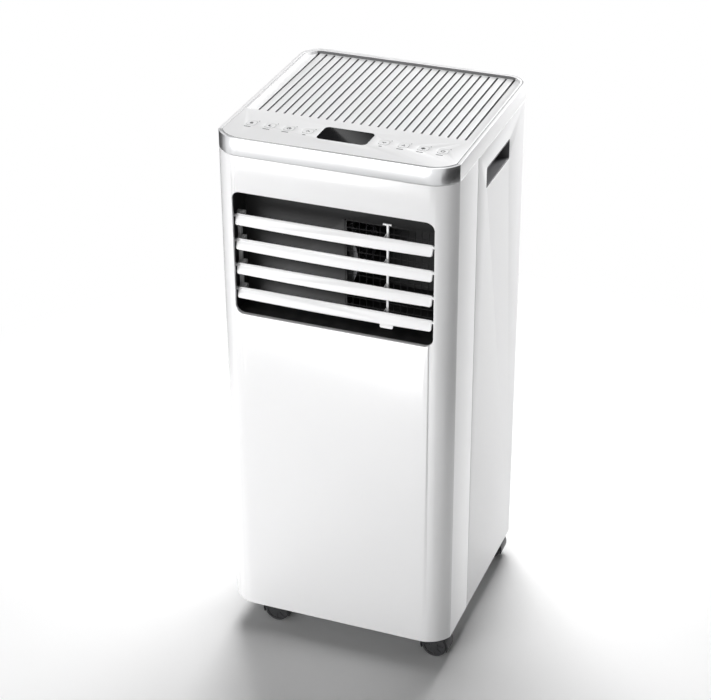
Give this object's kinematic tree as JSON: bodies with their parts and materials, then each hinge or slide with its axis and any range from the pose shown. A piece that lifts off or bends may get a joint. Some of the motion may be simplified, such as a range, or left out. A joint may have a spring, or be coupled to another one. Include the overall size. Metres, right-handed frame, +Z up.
{
  "type": "portable air conditioner",
  "caption": "Floor-standing portable air conditioner tower with a tilting louvre, top touch controls, top grille, side handles and swivel casters.",
  "frame": {"origin": "on the floor under the middle of the body", "axes": "+Z up, the louvre faces -Y, the exhaust collar faces +Y, +X to the right of someone facing the front"},
  "size_m": [0.3, 0.302, 0.706],
  "materials": {
    "gloss_white": "smooth gloss",
    "matte_white": "fine satin texture",
    "silver_trim": "polished metallic silver",
    "display_black": "polished",
    "duct_black": "matte",
    "louvre_white": "satin",
    "link_grey": "satin",
    "caster_black": "satin",
    "wheel_black": "hard smooth tread",
    "pan_grey": "matte",
    "board_green": "solder mask",
    "compressor_black": "satin paint",
    "grommet_rubber": "matte",
    "coil_aluminium": "finned",
    "pipe_copper": "bare tube",
    "fan_grey": "satin",
    "scroll_white": "foam-lined plastic",
    "motor_steel": "zinc plated",
    "box_steel": "galvanised",
    "filter_mesh": "woven mesh",
    "screw_steel": "zinc plated",
    "float_white": "foam"
  },
  "bodies": {
    "body": {"front_panel": "gloss_white", "top_cover": "gloss_white", "trim_band": "silver_trim", "top_frame": "silver_trim", "display_window": "display_black", "front_frame": "matte_white", "rear_housing": "matte_white", "handle_cups": "matte_white", "control_board": "board_green", "outlet_frame": "duct_black", "outlet_guard": "duct_black", "base_pan": "pan_grey", "divider_tray": "pan_grey", "compressor": "compressor_black", "compressor_grommets": "grommet_rubber", "condenser_coil": "coil_aluminium", "evaporator_coil": "coil_aluminium", "refrigerant_pipes": "pipe_copper", "evaporator_scroll": "scroll_white", "condenser_scroll": "scroll_white", "evaporator_motor": "motor_steel", "condenser_motor": "motor_steel", "electrical_box": "box_steel", "main_board": "board_green", "run_capacitor": "box_steel", "cord_gland": "caster_black", "exhaust_collar": "matte_white", "drain_plugs": "grommet_rubber", "case_screws": "screw_steel", "slinger_motor": "motor_steel", "condenser_filter": "filter_mesh", "float_switch": "caster_black"},
    "blade_1": {"blade_1": "louvre_white"},
    "blade_2": {"blade_2": "louvre_white"},
    "blade_3": {"blade_3": "louvre_white"},
    "blade_4": {"blade_4": "louvre_white"},
    "link_bar": {"link_bar": "link_grey"},
    "tie_rod": {"tie_rod": "link_grey"},
    "key_lock": {"key_lock": "gloss_white"},
    "key_sleep": {"key_sleep": "gloss_white"},
    "key_timer": {"key_timer": "gloss_white"},
    "key_temp_up": {"key_temp_up": "gloss_white"},
    "key_temp_down": {"key_temp_down": "gloss_white"},
    "key_fan_speed": {"key_fan_speed": "gloss_white"},
    "key_mode": {"key_mode": "gloss_white"},
    "key_power": {"key_power": "gloss_white"},
    "evaporator_impeller": {"evaporator_impeller": "fan_grey"},
    "condenser_impeller": {"condenser_impeller": "fan_grey"},
    "slinger_wheel": {"slinger_wheel": "fan_grey"},
    "float_ring": {"float_ring": "float_white"},
    "caster_fork_front_left": {"caster_fork_front_left": "caster_black"},
    "caster_fork_front_right": {"caster_fork_front_right": "caster_black"},
    "caster_fork_rear_left": {"caster_fork_rear_left": "caster_black"},
    "caster_fork_rear_right": {"caster_fork_rear_right": "caster_black"},
    "caster_wheels_front_left": {"caster_wheels_front_left": "wheel_black"},
    "caster_wheels_front_right": {"caster_wheels_front_right": "wheel_black"},
    "caster_wheels_rear_left": {"caster_wheels_rear_left": "wheel_black"},
    "caster_wheels_rear_right": {"caster_wheels_rear_right": "wheel_black"},
    "filter_door": {"filter_door": "matte_white", "air_filter": "filter_mesh"}
  },
  "joints": [
    {"name": "blade_1_tilt", "type": "hinge", "parent": "body", "child": "blade_1", "pos_m": [0, -0.1405, 0.6015], "axis": [1, 0, 0], "range_deg": [-36, 18]},
    {"name": "blade_2_tilt", "type": "hinge", "parent": "body", "child": "blade_2", "pos_m": [0, -0.1405, 0.56855], "axis": [1, 0, 0], "range_deg": [-36, 18]},
    {"name": "blade_3_tilt", "type": "hinge", "parent": "body", "child": "blade_3", "pos_m": [0, -0.1405, 0.5356], "axis": [1, 0, 0], "range_deg": [-36, 18]},
    {"name": "blade_4_tilt", "type": "hinge", "parent": "body", "child": "blade_4", "pos_m": [0, -0.1405, 0.50265], "axis": [1, 0, 0], "range_deg": [-36, 18]},
    {"name": "link_bar_pivot", "type": "hinge", "parent": "blade_1", "child": "link_bar", "pos_m": [-0.1264, -0.12951, 0.60112], "axis": [1, 0, 0], "range_deg": [-18, 36]},
    {"name": "tie_rod_pivot", "type": "hinge", "parent": "blade_1", "child": "tie_rod", "pos_m": [0.063, -0.12951, 0.60112], "axis": [1, 0, 0], "range_deg": [-18, 36]},
    {"name": "key_lock_press", "type": "slide", "parent": "body", "child": "key_lock", "axis": [0, 0, -1], "range_m": [0, 0.0005], "stiffness_N_per_m": 400, "springref_m": -0.001},
    {"name": "key_sleep_press", "type": "slide", "parent": "body", "child": "key_sleep", "axis": [0, 0, -1], "range_m": [0, 0.0005], "stiffness_N_per_m": 400, "springref_m": -0.001},
    {"name": "key_timer_press", "type": "slide", "parent": "body", "child": "key_timer", "axis": [0, 0, -1], "range_m": [0, 0.0005], "stiffness_N_per_m": 400, "springref_m": -0.001},
    {"name": "key_temp_up_press", "type": "slide", "parent": "body", "child": "key_temp_up", "axis": [0, 0, -1], "range_m": [0, 0.0005], "stiffness_N_per_m": 400, "springref_m": -0.001},
    {"name": "key_temp_down_press", "type": "slide", "parent": "body", "child": "key_temp_down", "axis": [0, 0, -1], "range_m": [0, 0.0005], "stiffness_N_per_m": 400, "springref_m": -0.001},
    {"name": "key_fan_speed_press", "type": "slide", "parent": "body", "child": "key_fan_speed", "axis": [0, 0, -1], "range_m": [0, 0.0005], "stiffness_N_per_m": 400, "springref_m": -0.001},
    {"name": "key_mode_press", "type": "slide", "parent": "body", "child": "key_mode", "axis": [0, 0, -1], "range_m": [0, 0.0005], "stiffness_N_per_m": 400, "springref_m": -0.001},
    {"name": "key_power_press", "type": "slide", "parent": "body", "child": "key_power", "axis": [0, 0, -1], "range_m": [0, 0.0005], "stiffness_N_per_m": 400, "springref_m": -0.001},
    {"name": "evaporator_fan_spin", "type": "hinge", "parent": "body", "child": "evaporator_impeller", "pos_m": [-0.05, -0.0547, 0.538], "axis": [0, 1, 0], "continuous": true},
    {"name": "condenser_fan_spin", "type": "hinge", "parent": "body", "child": "condenser_impeller", "pos_m": [-0.052, 0.052, 0.188], "axis": [0, 1, 0], "continuous": true},
    {"name": "slinger_spin", "type": "hinge", "parent": "body", "child": "slinger_wheel", "pos_m": [0.035, 0.114, 0.062], "axis": [1, 0, 0], "continuous": true},
    {"name": "filter_door_hinge", "type": "hinge", "parent": "body", "child": "filter_door", "pos_m": [0, 0.1475, 0.486], "axis": [-1, 0, 0], "range_deg": [0, 60]},
    {"name": "float_rise", "type": "slide", "parent": "body", "child": "float_ring", "axis": [0, 0, 1], "range_m": [0, 0.015]},
    {"name": "caster_swivel_front_left", "type": "hinge", "parent": "body", "child": "caster_fork_front_left", "pos_m": [-0.111, -0.1175, 0.037], "axis": [0, 0, 1], "continuous": true},
    {"name": "caster_roll_front_left", "type": "hinge", "parent": "caster_fork_front_left", "child": "caster_wheels_front_left", "pos_m": [-0.094, -0.1175, 0.0165], "axis": [0, 1, 0], "continuous": true},
    {"name": "caster_swivel_front_right", "type": "hinge", "parent": "body", "child": "caster_fork_front_right", "pos_m": [0.111, -0.1175, 0.037], "axis": [0, 0, 1], "continuous": true},
    {"name": "caster_roll_front_right", "type": "hinge", "parent": "caster_fork_front_right", "child": "caster_wheels_front_right", "pos_m": [0.128, -0.1175, 0.0165], "axis": [0, 1, 0], "continuous": true},
    {"name": "caster_swivel_rear_left", "type": "hinge", "parent": "body", "child": "caster_fork_rear_left", "pos_m": [-0.111, 0.1175, 0.037], "axis": [0, 0, 1], "continuous": true},
    {"name": "caster_roll_rear_left", "type": "hinge", "parent": "caster_fork_rear_left", "child": "caster_wheels_rear_left", "pos_m": [-0.094, 0.1175, 0.0165], "axis": [0, 1, 0], "continuous": true},
    {"name": "caster_swivel_rear_right", "type": "hinge", "parent": "body", "child": "caster_fork_rear_right", "pos_m": [0.111, 0.1175, 0.037], "axis": [0, 0, 1], "continuous": true},
    {"name": "caster_roll_rear_right", "type": "hinge", "parent": "caster_fork_rear_right", "child": "caster_wheels_rear_right", "pos_m": [0.128, 0.1175, 0.0165], "axis": [0, 1, 0], "continuous": true}
  ],
  "couplings": [
    {"joint": "blade_2_tilt", "follows": "blade_1_tilt", "ratio": 1},
    {"joint": "blade_3_tilt", "follows": "blade_1_tilt", "ratio": 1},
    {"joint": "blade_4_tilt", "follows": "blade_1_tilt", "ratio": 1},
    {"joint": "link_bar_pivot", "follows": "blade_1_tilt", "ratio": -1},
    {"joint": "tie_rod_pivot", "follows": "blade_1_tilt", "ratio": -1}
  ]
}
